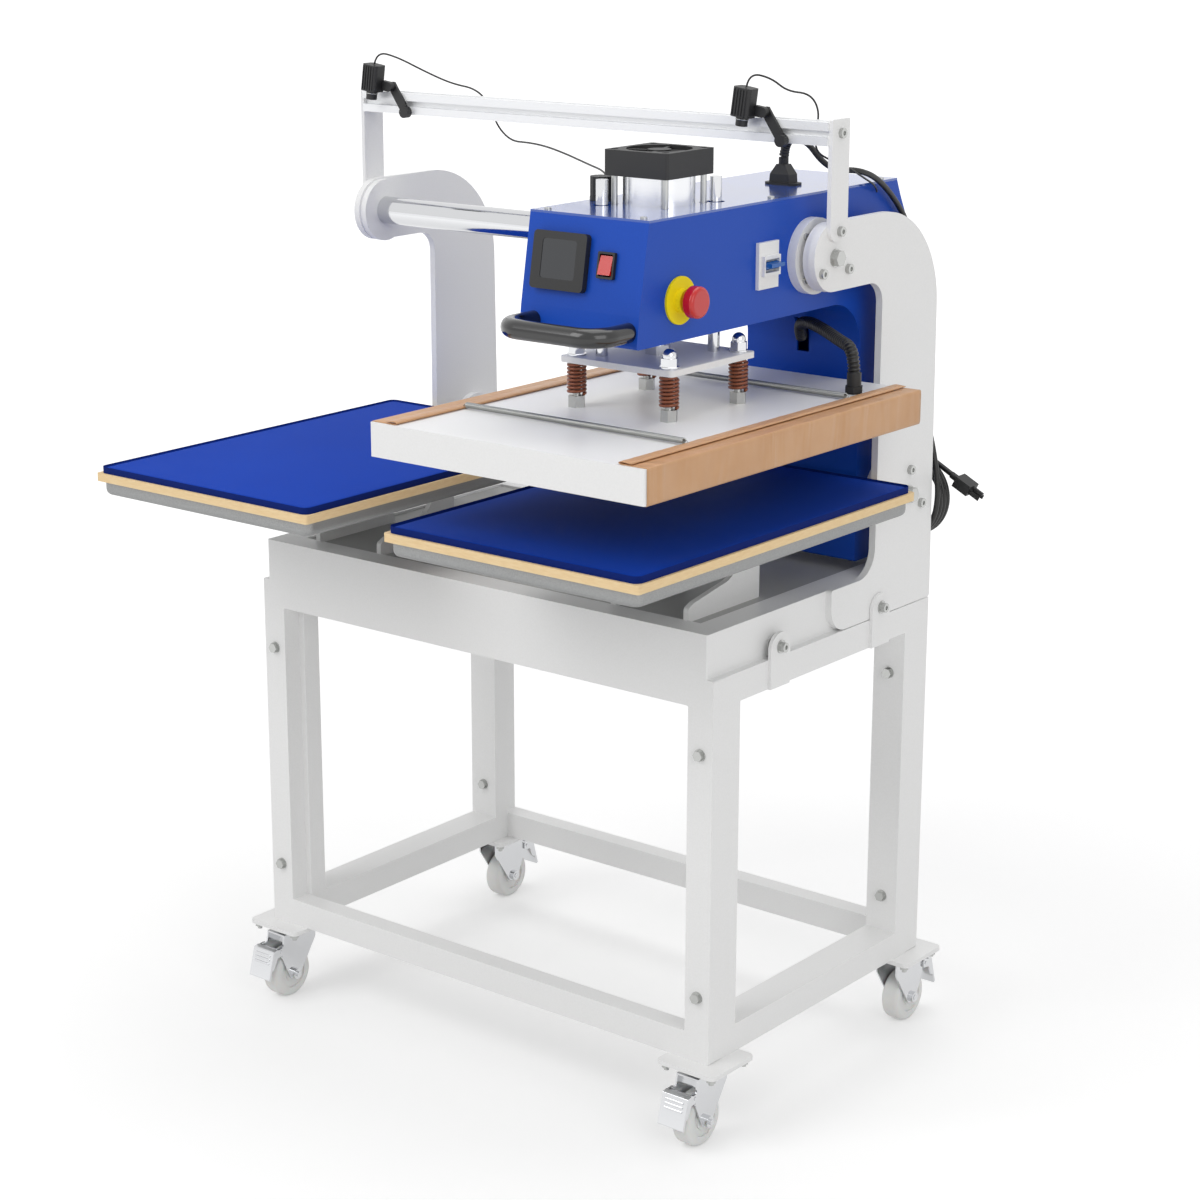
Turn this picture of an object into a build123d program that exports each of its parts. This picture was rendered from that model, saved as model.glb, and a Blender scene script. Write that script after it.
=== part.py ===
from build123d import *
import math
import os

os.makedirs("parts", exist_ok=True)

# Wheeled stand of welded rectangular tube
STAND_W = 813.0
STAND_D = 518.0
STAND_TOP = 653.0
LEG_BOTTOM = 118.0
FACE = 40.0
END_T = 30.0
SIDE_W = 50.0
SIDE_T = 30.0
LUG_T = 5.0
LUG_W = 44.0
LUG_Z = 668.0
LUG_Y = (-116.0, 127.0)

# Tray frame, deck and platens
TRAY_W = 792.0
TRAY_H = 60.0
TRAY_FACE = 40.0
DECK_T = 3.0
DECK_DROP = 3.0
PLATEN_X = 272.0
PLATEN_Y = -204.0
PAD_W = 400.0
PAD_L = 600.0
PAD_T = 8.0
BOARD_T = 11.5
BOARD_EDGE = 4.0
TRAY_T = 20.0
TRAY_EDGE = 5.0
PLATEN_LIFT = 101.0
BRACKET_X = 60.0
BRACKET_T = 8.0

# C shaped side plates and the two guide shafts
PLATE_T = 10.0
PLATE_TOP = 1213.0
PLATE_REAR = 252.0
ARM_UNDER = 1122.0
SHAFT_R = 20.0
SHAFT_FIT = 0.05
UPPER_Y = -2.0
UPPER_Z = 1166.0
LOWER_Y = 198.0
LOWER_Z = 814.0
DISC_R = 45.0
DISC_T = 10.0
DISC_BOLT_R = 35.0

# Beam over the head
BEAM = 30.0
BEAM_Y = -12.0
BEAM_Z = 1326.5
UPRIGHT_W = 40.0
UPRIGHT_T = 6.0
UPRIGHT_Y = -4.0
UPRIGHT_TOP = 1345.0
UPRIGHT_LOW = 1188.0

# Swivel casters
CASTER_X = 386.0
CASTER_Y = 238.0
PAD_PLATE = 96.0
PAD_PLATE_T = 6.0
WHEEL_R = 37.5
WHEEL_W = 28.0
TRAIL = 20.0
AXLE_R = 4.0
FORK_T = 2.5
FORK_GAP = 1.5

# Sliding head
HEAD_X = 272.0
HEAD_W = 186.0
HEAD_TOP = 1247.0
HEAD_UNDER = 1092.0
HEAD_FRONT = -346.0
COLUMN_FRONT = 127.0
COLUMN_REAR = 250.0
COLUMN_LOW = 725.0
SHEET = 3.0
PRESS_Y = -204.0
FLANGE_R = 50.0
FLANGE_T = 13.0
SLEEVE_R = 28.0
SLEEVE_L = 60.0
ROCKER_X = 309.0
ROCKER_Z = 1189.0
ROCKER_W = 20.4
ROCKER_H = 27.4

# Air cylinder and guides
CAP = 100.0
CAP_H = 32.5
BASE_BLOCK = 93.0
BASE_H = 20.0
BARREL_R = 46.0
BORE_R = 40.0
BARREL_TOP = 1283.5
PISTON_H = 25.0
ROD_R = 10.0
GUIDE_R = 7.75
GUIDE_X = 46.0
GUIDE_Y = 58.0
GUIDE_TOP = 1279.0
TIE = 40.0
TIE_R = 4.0
RUN_FIT = 0.06

# Spring plate, studs and springs
SPRING_PLATE = 180.0
SPRING_PLATE_T = 8.0
SPRING_PLATE_TOP = 1055.0
STUD = 74.0
STUD_R = 5.0
BOSS_AF = 20.0
BOSS_H = 15.0
SPRING_WIRE = 4.2
SPRING_MEAN = 10.9
SPRING_TURNS = 8

# Heater
HEATER_W = 433.0
HEATER_L = 602.0
HEATER_LOW = 944.0
HEATER_H = 44.0
SHELL = 1.5
HOT_PLATE_T = 18.0
HEATER_AHEAD = 9.0
SHEET_T = 1.0
FOLD = 40.0
HOLD_Y = 175.0
HOLD_R = 4.0
GLAND_X = 430.0
GLAND_Y = 13.5
GLAND_H = 28.0
CONDUIT_R = 8.5
PEDAL_REACH = 78.0

# The middle of the footprint is the origin
CENTRE_X = (HEAD_X + HEATER_W / 2 + SHEET_T - PLATEN_X - PAD_W / 2 - BOARD_EDGE) / 2
CENTRE_Y = (PRESS_Y - HEATER_AHEAD - HEATER_L / 2 + CASTER_Y + PEDAL_REACH) / 2


def save(name, shape):
    export_step(Pos(-CENTRE_X, -CENTRE_Y, 0) * shape, f"parts/{name}.step")


def block(x0, x1, y0, y1, z0, z1):
    return Pos((x0 + x1) / 2, (y0 + y1) / 2, (z0 + z1) / 2) * Box(abs(x1 - x0), abs(y1 - y0), abs(z1 - z0))


def rod_z(x, y, z0, z1, r):
    return Pos(x, y, (z0 + z1) / 2) * Cylinder(r, z1 - z0)


def rod_x(x0, x1, y, z, r):
    return Pos((x0 + x1) / 2, y, z) * Rot(0, 90, 0) * Cylinder(r, x1 - x0)


def rod_y(x, y0, y1, z, r):
    return Pos(x, (y0 + y1) / 2, z) * Rot(90, 0, 0) * Cylinder(r, y1 - y0)


def hex_z(x, y, z0, z1, flats):
    return Pos(x, y, z0) * extrude(RegularPolygon(flats / 2, 6, major_radius=False), amount=z1 - z0)


def rounded(points, radii):
    # Closed outline whose corners are tangent arcs of the given radii
    count = len(points)
    places = []
    for i in range(count):
        p = Vector(*points[i])
        a = (Vector(*points[i - 1]) - p).normalized()
        b = (Vector(*points[(i + 1) % count]) - p).normalized()
        half = math.acos(max(-1.0, min(1.0, a.dot(b)))) / 2
        r = radii[i]
        if r > 0:
            reach = r / math.tan(half)
            middle = p + (a + b).normalized() * (r / math.sin(half) - r)
            places.append((p + a * reach, middle, p + b * reach))
        else:
            places.append((p, None, p))
    edges = []
    for i in range(count):
        start, middle, end = places[i]
        if middle is not None:
            edges.append(ThreePointArc(start, middle, end))
        following = places[(i + 1) % count][0]
        if (following - end).length > 0.001:
            edges.append(Line(end, following))
    return make_face(Wire(edges).edges())


def profile_x(points, radii, x0, x1):
    # Outline given as (y, z), stretched from x0 to x1
    face = Plane.YZ * rounded(points, radii)
    return Pos(x0, 0, 0) * extrude(face, amount=x1 - x0)


def group(items):
    return Compound(children=list(items))


def both(shape):
    return [shape, mirror(shape, about=Plane.YZ)]


# Mitred front and rear frames of the stand
half_w = STAND_W / 2
half_d = STAND_D / 2
end_frames = []
for side in (-1, 1):
    y0 = side * half_d
    y1 = side * (half_d - END_T)
    outer = block(-half_w, half_w, y0, y1, LEG_BOTTOM, STAND_TOP)
    window = block(-half_w + FACE, half_w - FACE, y0 - 60, y0 + 60, LEG_BOTTOM + FACE, STAND_TOP - FACE)
    end_frames.append(fillet((outer - window).edges().filter_by(Axis.Y).group_by(SortBy.LENGTH)[0], 2.0))
save("stand_end_frames", group(end_frames))

# Side frames between them, each with two lugs welded on its outer face
side_y = half_d - END_T
outer = block(half_w - SIDE_W, half_w, -side_y, side_y, LEG_BOTTOM, STAND_TOP)
window = block(half_w - SIDE_W - 5, half_w + 5, -side_y + SIDE_T, side_y - SIDE_T, LEG_BOTTOM + FACE, STAND_TOP - FACE)
side_frame = outer - window
for lug_y in LUG_Y:
    lug_top = LUG_Z + LUG_W / 2 - 2.5
    lug = profile_x(
        [(lug_y - LUG_W / 2, STAND_TOP - FACE), (lug_y + LUG_W / 2, STAND_TOP - FACE), (lug_y + LUG_W / 2, lug_top), (lug_y - LUG_W / 2, lug_top)],
        [0, 0, LUG_W / 2 - 0.5, LUG_W / 2 - 0.5], half_w, half_w + LUG_T)
    side_frame = side_frame + lug - rod_x(half_w - 1, half_w + LUG_T + 1, lug_y, LUG_Z, 4.2)
save("stand_side_frames", group(both(side_frame)))

# Stand bolts: a washer and a hex head on each leg face, and the caster plate bolts
stand_bolts = []
for x in (-1, 1):
    for z in (550.0, 211.0):
        for face_y in (-half_d, half_d - END_T - SIDE_T):
            bx = x * (half_w - FACE / 2) if face_y < 0 else x * (half_w - SIDE_W / 2)
            washer = rod_y(bx, face_y - 1.6, face_y, z, 8.5)
            head = Pos(bx, face_y - 1.6, z) * extrude(Plane.XZ * RegularPolygon(6.5, 6, major_radius=False), amount=5.3)
            stand_bolts.append(washer + head)
plate_hole = PAD_PLATE / 2 - 11.0
for x in (-1, 1):
    for y in (-1, 1):
        for dx in (-1, 1):
            for dy in (-1, 1):
                px = x * CASTER_X + dx * plate_hole
                py = y * CASTER_Y + dy * plate_hole
                under = LEG_BOTTOM - PAD_PLATE_T
                stand_bolts.append(hex_z(px, py, under - 6, under, 12.0) + rod_z(px, py, under - 10, under - 6, 3.6))
save("stand_bolts", group(stand_bolts))

# Tray frame on top of the stand, with its deck plate set in flush
TRAY_TOP = STAND_TOP + TRAY_H
tray_x = TRAY_W / 2
tray = block(-tray_x, tray_x, -half_d, half_d, STAND_TOP, TRAY_TOP)
tray = fillet(tray.edges().filter_by(Axis.Z), 2.5)
tray = tray - block(-tray_x + TRAY_FACE, tray_x - TRAY_FACE, -half_d + TRAY_FACE, half_d - TRAY_FACE, 0, 2000)
save("tray_frame", tray)
deck_top = TRAY_TOP - DECK_DROP
deck = block(-tray_x + TRAY_FACE, tray_x - TRAY_FACE, -half_d + TRAY_FACE, half_d - TRAY_FACE, deck_top - DECK_T, deck_top)
save("deck_plate", deck)

# Brackets that stand on the deck and carry the platens
tray_low = TRAY_TOP + PLATEN_LIFT
brackets = []
for side in (-1, 1):
    for dx in (-1, 1):
        bx = side * PLATEN_X + dx * BRACKET_X
        brackets.append(profile_x(
            [(-219, deck_top), (-219, deck_top + 18), (-206, deck_top + 24), (-108, deck_top + 42), (-108, tray_low), (-60, tray_low), (-60, deck_top)],
            [0, 6, 0, 34, 0, 0, 0], bx - BRACKET_T / 2, bx + BRACKET_T / 2))
save("platen_brackets", group(brackets))

# Lower platens: cast tray, board and foam pad
trays = []
boards = []
pads = []
board_low = tray_low + TRAY_T
pad_low = board_low + BOARD_T
pad_top = pad_low + PAD_T
for side in (-1, 1):
    cx = side * PLATEN_X
    bw = PAD_W / 2 + BOARD_EDGE
    bl = PAD_L / 2 + BOARD_EDGE
    tw = bw - TRAY_EDGE
    tl = bl - TRAY_EDGE
    t = block(cx - tw, cx + tw, PLATEN_Y - tl, PLATEN_Y + tl, tray_low, board_low)
    t = fillet(t.edges().filter_by(Axis.Z), 14.0)
    t = fillet(t.faces().sort_by(Axis.Z)[0].edges(), 9.0)
    trays.append(t)
    b = block(cx - bw, cx + bw, PLATEN_Y - bl, PLATEN_Y + bl, board_low, pad_low)
    boards.append(fillet(b.edges().filter_by(Axis.Z), 4.0))
    p = block(cx - PAD_W / 2, cx + PAD_W / 2, PLATEN_Y - PAD_L / 2, PLATEN_Y + PAD_L / 2, pad_low, pad_top)
    pads.append(fillet(p.edges().filter_by(Axis.Z), 10.0))
save("platen_trays", group(trays))
save("platen_boards", group(boards))
save("platen_pads", group(pads))

# C shaped side plates outside the tray frame
foot_y = 10.0
inner_y = 115.0
plate_low = STAND_TOP + 1.0
plate = profile_x(
    [(UPPER_Y - 48, PLATE_TOP), (PLATE_REAR, PLATE_TOP), (PLATE_REAR + 9, plate_low), (foot_y, plate_low),
     (foot_y, TRAY_TOP + 2), (inner_y, TRAY_TOP + 2), (inner_y, ARM_UNDER), (UPPER_Y - 48, ARM_UNDER)],
    [45, 141, 4, 35, 4, 38, 30, 45], tray_x, tray_x + PLATE_T)
save("side_plates", group(both(plate)))

# Guide shafts with a holding disc at each end
shafts = []
discs = []
for ay, az in ((UPPER_Y, UPPER_Z), (LOWER_Y, LOWER_Z)):
    shafts.append(rod_x(-tray_x, tray_x, ay, az, SHAFT_R))
    disc = rod_x(tray_x - DISC_T, tray_x, ay, az, DISC_R) - rod_x(tray_x - DISC_T - 1, tray_x + 1, ay, az, SHAFT_R + SHAFT_FIT)
    discs += both(disc)
save("guide_shafts", group(shafts))
save("shaft_end_discs", group(discs))

# Bolts on the outer faces of the side plates and lugs
outer_x = tray_x + PLATE_T


def socket_head(x, y, z, r, h):
    head = rod_x(x, x + h, y, z, r)
    return head - rod_x(x + h - 2.5, x + h + 1, y, z, r * 0.45)


side_bolts = []
for ay, az in ((UPPER_Y, UPPER_Z), (LOWER_Y, LOWER_Z)):
    washer = rod_x(outer_x, outer_x + 2, ay, az, 12)
    hexagon = Pos(outer_x + 2, ay, az) * extrude(Plane.YZ * RegularPolygon(9.5, 6, major_radius=False), amount=8)
    if az > 1000:
        seat = outer_x + UPRIGHT_T
    else:
        seat = outer_x
    side_bolts += both(Pos(seat - outer_x, 0, 0) * (washer + hexagon) if az > 1000 and abs(ay - UPRIGHT_Y) < UPRIGHT_W / 2 and az > UPRIGHT_LOW else washer + hexagon)
    for degrees in (90, 210, 330):
        by = ay + DISC_BOLT_R * math.cos(math.radians(degrees))
        bz = az + DISC_BOLT_R * math.sin(math.radians(degrees))
        over = bz > UPRIGHT_LOW and az > 1000
        side_bolts += both(socket_head(outer_x + (UPRIGHT_T if over else 0), by, bz, 6.5, 6))
for lug_y in LUG_Y:
    washer = rod_x(half_w + LUG_T, half_w + LUG_T + 1.6, lug_y, LUG_Z, 9)
    side_bolts += both(washer + socket_head(half_w + LUG_T + 1.6, lug_y, LUG_Z, 6.5, 7))
spacer = rod_x(tray_x, half_w, LUG_Y[0], LUG_Z, 8)
side_bolts += both(spacer)
side_bolts += both(socket_head(outer_x + UPRIGHT_T, UPRIGHT_Y, UPRIGHT_TOP - 18, 6.5, 5))
save("side_bolts", group(side_bolts))

# Beam carried by two flat uprights
upright = profile_x(
    [(UPRIGHT_Y - UPRIGHT_W / 2, UPRIGHT_LOW), (UPRIGHT_Y + UPRIGHT_W / 2, UPRIGHT_LOW),
     (UPRIGHT_Y + UPRIGHT_W / 2, UPRIGHT_TOP), (UPRIGHT_Y - UPRIGHT_W / 2, UPRIGHT_TOP)],
    [16, 16, 2, 2], outer_x, outer_x + UPRIGHT_T)
save("beam_uprights", group(both(upright)))
b2 = BEAM / 2
beam = block(-outer_x, outer_x, BEAM_Y - b2, BEAM_Y + b2, BEAM_Z - b2, BEAM_Z + b2)
slot = 8.2
for ny, nz in ((-1, 0), (1, 0), (0, 1), (0, -1)):
    cy = BEAM_Y + ny * (b2 - 4)
    cz = BEAM_Z + nz * (b2 - 4)
    wy = slot / 2 if nz else 4.5
    wz = slot / 2 if ny else 4.5
    beam = beam - block(-outer_x - 1, outer_x + 1, cy - wy, cy + wy, cz - wz, cz + wz)
save("laser_beam", beam)

# Pointer lamps on arms clamped to the beam
front_y = BEAM_Y - b2
mounts = []
lamps = []
for lx in (312.0, -344.0):
    arm_y = front_y - 4.0
    top = Vector(lx, arm_y, 1350)
    low = Vector(lx + 24, arm_y, 1316)
    arm = Pos(0, front_y, 0) * extrude(Plane.XZ * make_face(Polyline(
        (lx - 7, 1349), (lx + 4, 1357), (lx + 33, 1316), (lx + 22, 1308), close=True)), amount=4)
    arm = arm + rod_y(lx, front_y - 4, front_y, 1350, 7) + rod_y(lx + 27, front_y - 10, front_y, 1315, 8)
    mounts.append(arm - rod_y(lx, front_y - 5, front_y + 1, 1350, 2.2))
    body_y = front_y - 4.3
    lamp = fillet(block(lx - 40, lx - 12, body_y - 24, body_y, 1340, 1378).edges().filter_by(Axis.Z), 6)
    lamp = lamp + rod_z(lx - 26, body_y - 12, 1328, 1340, 8) + block(lx - 13, lx, body_y - 8, body_y, 1343, 1357)
    lamp = lamp + rod_y(lx, body_y - 8, body_y, 1350, 7) + rod_y(lx, body_y - 1, front_y - 0.3, 1350, 2.15)
    lamps.append(Pos(lx, 0, 1350) * Rot(0, 8, 0) * Pos(-lx, 0, -1350) * lamp)
save("lamp_mounts", group(mounts))
save("lamp_right", lamps[0])
save("lamp_left", lamps[1])

# Casters with a brake pedal each
plate_under = LEG_BOTTOM - PAD_PLATE_T
caster_plates = []
for x in (-1, 1):
    for y in (-1, 1):
        cp = block(x * CASTER_X - PAD_PLATE / 2, x * CASTER_X + PAD_PLATE / 2, y * CASTER_Y - PAD_PLATE / 2, y * CASTER_Y + PAD_PLATE / 2, plate_under, LEG_BOTTOM)
        caster_plates.append(fillet(cp.edges().filter_by(Axis.Z), 9.0))
save("caster_plates", group(caster_plates))
fork_x = WHEEL_W / 2 + FORK_GAP
fork_top = plate_under - 8.0
race = rod_z(0, 0, fork_top, plate_under - 0.3, 21) + rod_z(0, 0, fork_top + 2, plate_under - 2.5, 25)
leg_outline = [(26, fork_top), (26, 84), (-10, 30), (-28, 30), (-46, 70), (-40, fork_top)]
legs = [profile_x(leg_outline, [3, 4, 10, 10, 8, 3], s * fork_x - (FORK_T if s < 0 else 0), s * fork_x + (FORK_T if s > 0 else 0)) for s in (-1, 1)]
crown = profile_x([(26, fork_top), (26, fork_top - FORK_T), (-40, fork_top - FORK_T), (-40, fork_top)], [0, 0, 0, 0], -fork_x - FORK_T, fork_x + FORK_T)
fork = race + legs[0] + legs[1] + crown
fork = fork + rod_x(-fork_x - 8, fork_x + 12, -TRAIL, WHEEL_R, AXLE_R)
fork = fork + rod_x(fork_x + FORK_T, fork_x + 9, -TRAIL, WHEEL_R, 8) + rod_x(-fork_x - 7, -fork_x - FORK_T, -TRAIL, WHEEL_R, 8)
wheel = rod_x(-WHEEL_W / 2, WHEEL_W / 2, -TRAIL, WHEEL_R, WHEEL_R)
wheel = fillet(wheel.edges().filter_by(GeomType.CIRCLE), 6.0)
for s in (-1, 1):
    ring = rod_x(s * WHEEL_W / 2 - 3, s * WHEEL_W / 2 + 3, -TRAIL, WHEEL_R, 24) - rod_x(s * WHEEL_W / 2 - 4, s * WHEEL_W / 2 + 4, -TRAIL, WHEEL_R, 14)
    wheel = wheel - ring
wheel = wheel - rod_x(-40, 40, -TRAIL, WHEEL_R, AXLE_R + SHAFT_FIT)
PEDAL_Y = -50.0
PEDAL_Z = 82.0
pedal_pin = 2.5
lug_leg = block(fork_x, fork_x + FORK_T, PEDAL_Y - 4, -38, PEDAL_Z - 5, PEDAL_Z + 5)
fork = fork + lug_leg + mirror(lug_leg, about=Plane.YZ)
fork = fork + rod_x(-fork_x - FORK_T - 4, fork_x + FORK_T + 4, PEDAL_Y, PEDAL_Z, pedal_pin)
pedal_half = fork_x + FORK_T + 3.0
pedal_side = [(-44, 88), (-63, 86), (-72, 60), (-68, 56), (-58, 74), (-44, 76)]
pedal = profile_x([(-57, 88), (-66, 86), (-PEDAL_REACH, 44), (-75, 42), (-63, 80), (-57, 84)], [1, 2, 1, 0, 2, 0], -pedal_half, pedal_half)
for s in (-1, 1):
    a = s * (pedal_half - 2.4)
    pedal = pedal + profile_x(pedal_side, [3, 3, 3, 2, 2, 3], min(a, s * pedal_half), max(a, s * pedal_half))
pedal = pedal - rod_x(-60, 60, PEDAL_Y, PEDAL_Z, pedal_pin + SHAFT_FIT)
for name, sx, sy in (("front_right", 1, -1), ("front_left", -1, -1), ("rear_right", 1, 1), ("rear_left", -1, 1)):
    place = Pos(sx * CASTER_X, sy * CASTER_Y, 0) * Rot(0, 0, 0 if sy < 0 else 180)
    save(f"caster_fork_{name}", place * fork)
    save(f"caster_wheel_{name}", place * wheel)
    save(f"caster_pedal_{name}", place * pedal)

# Head housing bent from sheet, open at the top under its cover
hx0 = HEAD_X - HEAD_W / 2
hx1 = HEAD_X + HEAD_W / 2
cover_low = HEAD_TOP - SHEET
elbow_r = 67.0
outline = [(HEAD_FRONT, cover_low), (208, cover_low), (218, 1222), (235, 1190), (COLUMN_REAR, 1120), (COLUMN_REAR, COLUMN_LOW),
           (COLUMN_FRONT, COLUMN_LOW), (COLUMN_FRONT, HEAD_UNDER), (HEAD_FRONT - 24, HEAD_UNDER), (HEAD_FRONT - 19, 1132)]
inside = [(HEAD_FRONT + SHEET, cover_low + 20), (208 - SHEET, cover_low + 20), (218 - SHEET, 1222 - 2), (235 - SHEET, 1190 - 2),
          (COLUMN_REAR - SHEET, 1120), (COLUMN_REAR - SHEET, COLUMN_LOW + SHEET), (COLUMN_FRONT + SHEET, COLUMN_LOW + SHEET),
          (COLUMN_FRONT + SHEET, HEAD_UNDER + SHEET), (HEAD_FRONT - 24 + SHEET, HEAD_UNDER + SHEET), (HEAD_FRONT - 19 + SHEET, 1132)]
housing = profile_x(outline, [0, 0, 8, 8, 20, 3, 3, elbow_r, 4, 4], hx0, hx1)
housing = housing - profile_x(inside, [0, 0, 6, 6, 18, 0, 0, elbow_r - SHEET, 1, 1], hx0 + SHEET, hx1 - SHEET)
for ay, az in ((UPPER_Y, UPPER_Z), (LOWER_Y, LOWER_Z)):
    housing = housing - rod_x(hx0 - 5, hx1 + 5, ay, az, SLEEVE_R + SHAFT_FIT)
rods = [(HEAD_X + GUIDE_X, PRESS_Y + GUIDE_Y), (HEAD_X - GUIDE_X, PRESS_Y - GUIDE_Y)]
for gx, gy in rods:
    housing = housing - rod_z(gx, gy, HEAD_UNDER - 5, HEAD_UNDER + 10, GUIDE_R + RUN_FIT)
housing = housing - rod_z(HEAD_X, PRESS_Y, HEAD_UNDER - 5, HEAD_UNDER + 10, ROD_R + 2)
# Place for what sits on the sloping front face
lean = math.atan2(19.0, cover_low - 1132.0)


def on_front(x, z, w, h, depth, out=0.0):
    y = HEAD_FRONT - (cover_low - z) * math.tan(lean)
    plane = Plane(origin=(x, y, z), x_dir=(1, 0, 0), z_dir=(0, -math.cos(lean), math.sin(lean)))
    return plane * Pos(0, 0, out) * extrude(RectangleRounded(w, h, min(w, h) * 0.08), amount=depth)


housing = housing - on_front(ROCKER_X, ROCKER_Z, ROCKER_W, ROCKER_H, 12, -8)
housing = housing - block(HEAD_X - 10, HEAD_X + 10, COLUMN_FRONT - 30, COLUMN_FRONT + 20, 1010, 1058)
save("head_housing", housing)

# Top cover with holes for the cylinder, its tie rods and the guide rods
cover = block(hx0, hx1, HEAD_FRONT, 208, cover_low, HEAD_TOP)
cover = cover - rod_z(HEAD_X, PRESS_Y, 1200, 1300, BARREL_R + 0.3)
for dx in (-1, 1):
    for dy in (-1, 1):
        cover = cover - rod_z(HEAD_X + dx * TIE, PRESS_Y + dy * TIE, 1200, 1300, TIE_R + 1.5)
for gx, gy in rods:
    cover = cover - rod_z(gx, gy, 1200, 1300, GUIDE_R + 4)
save("head_cover", cover)

# Flanged sleeve bearings that ride on the two shafts
bearings = []
for ay, az in ((UPPER_Y, UPPER_Z), (LOWER_Y, LOWER_Z)):
    bearing = rod_x(hx1, hx1 + FLANGE_T, ay, az, FLANGE_R) + rod_x(hx1 - SLEEVE_L, hx1 + 1, ay, az, SLEEVE_R)
    bearing = bearing - rod_x(hx1 - SLEEVE_L - 5, hx1 + FLANGE_T + 5, ay, az, SHAFT_R + SHAFT_FIT)
    bearings.append(bearing)
    bearings.append(mirror(bearing, about=Plane.YZ.offset(HEAD_X)))
save("head_bearings", group(bearings))

# Screws of the flanges and of the top cover, the tie rods and the cable clips
screws = []
for ay, az in ((UPPER_Y, UPPER_Z), (LOWER_Y, LOWER_Z)):
    for degrees in (45, 135, 225, 315):
        by = ay + 40 * math.cos(math.radians(degrees))
        bz = az + 40 * math.sin(math.radians(degrees))
        s = socket_head(hx1 + FLANGE_T, by, bz, 4.5, 4)
        screws.append(s)
        screws.append(mirror(s, about=Plane.YZ.offset(HEAD_X)))
for sx, sy in ((199, -336), (349, -336), (356, -78), (188, -78), (356, 180), (188, 180)):
    screws.append(rod_z(sx, sy, HEAD_TOP, HEAD_TOP + 2.5, 4.5))
for dx in (-1, 1):
    for dy in (-1, 1):
        screws.append(rod_z(HEAD_X + dx * TIE, PRESS_Y + dy * TIE, HEAD_UNDER + SHEET + BASE_H, BARREL_TOP, TIE_R))
save("head_screws", group(screws))

# Display module with its flush window, and the rocker switch in its frame
display = on_front(238, 1188, 84, 72, 9) - on_front(238, 1190, 54, 49, 4, 8.4)
save("display_module", display)
bezel = on_front(ROCKER_X, ROCKER_Z, ROCKER_W + 5.6, ROCKER_H + 5.6, 5) - on_front(ROCKER_X, ROCKER_Z, ROCKER_W, ROCKER_H, 8, -2)
save("rocker_bezel", bezel)
rocker_plane = Plane(origin=(ROCKER_X, HEAD_FRONT - (cover_low - ROCKER_Z) * math.tan(lean), ROCKER_Z), x_dir=(1, 0, 0), z_dir=(0, -math.cos(lean), math.sin(lean)))
rocker_l = ROCKER_H / 2 - 1.9
rocker_profile = make_face(Polyline((-rocker_l, 1.5), (rocker_l, 1.5), (rocker_l, 3.2), (0, 5.6), (-rocker_l, 7.4), close=True))
rocker = extrude(Plane(origin=(-ROCKER_W / 2 + 0.6, 0, 0), x_dir=(0, 1, 0), z_dir=(1, 0, 0)) * rocker_profile, amount=ROCKER_W - 1.2)
pivot = Pos(0, 0, 1.5) * Rot(0, 90, 0) * Cylinder(1.4, ROCKER_W - 0.4)
save("rocker_switch", rocker_plane * (rocker + pivot))

# Stop button and breaker on the right side
STOP_Y = -284.0
STOP_Z = 1143.0
estop_base = rod_x(hx1, hx1 + 3, STOP_Y, STOP_Z, 30) + rod_x(hx1 + 3, hx1 + 12, STOP_Y, STOP_Z, 15)
estop_base = estop_base - rod_x(hx1 + 2, hx1 + 14, STOP_Y, STOP_Z, 8 + SHAFT_FIT)
save("estop_base", estop_base)
mushroom = rod_x(hx1 + 20, hx1 + 34, STOP_Y, STOP_Z, 20)
mushroom = fillet(mushroom.faces().sort_by(Axis.X)[-1].edges(), 5.0) + rod_x(hx1 + 9.5, hx1 + 21, STOP_Y, STOP_Z, 8)
save("estop_button", mushroom)
BREAK_Y = -100.0
BREAK_Z = 1165.0
breaker = block(hx1, hx1 + 5, BREAK_Y - 22, BREAK_Y + 22, BREAK_Z - 30, BREAK_Z + 30)
breaker = breaker + block(hx1 + 5, hx1 + 11, BREAK_Y - 18, BREAK_Y + 18, BREAK_Z - 13, BREAK_Z + 13)
breaker = breaker - block(hx1 + 2, hx1 + 12, BREAK_Y - 15, BREAK_Y + 15, BREAK_Z - 8.5, BREAK_Z + 8.5)
save("breaker_body", breaker)
toggle = rod_y(hx1 + 7.5, BREAK_Y - 14.5, BREAK_Y + 14.5, BREAK_Z, 5)
toggle = toggle + block(hx1 + 8, hx1 + 20, BREAK_Y - 14.5, BREAK_Y + 14.5, BREAK_Z - 1, BREAK_Z + 4)
save("breaker_toggle", toggle)

# Bow handle on the lower front face
HANDLE_R = 12.5
handle_z = 1112.0
bow = FilletPolyline((200, HEAD_FRONT - 10, handle_z), (200, -430, handle_z), (350, -430, handle_z), (350, HEAD_FRONT - 10, handle_z), radius=30)
handle = sweep(Plane(origin=(200, HEAD_FRONT - 10, handle_z), z_dir=(0, -1, 0)) * Circle(HANDLE_R), path=bow)
handle_cut = profile_x([(0, 0), (0, 1300), (HEAD_FRONT, cover_low), (HEAD_FRONT - 19, 1132), (HEAD_FRONT - 24, HEAD_UNDER), (HEAD_FRONT - 24, 0)], [0, 0, 0, 4, 0, 0], hx0, hx1)
save("handle", handle - handle_cut)

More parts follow.
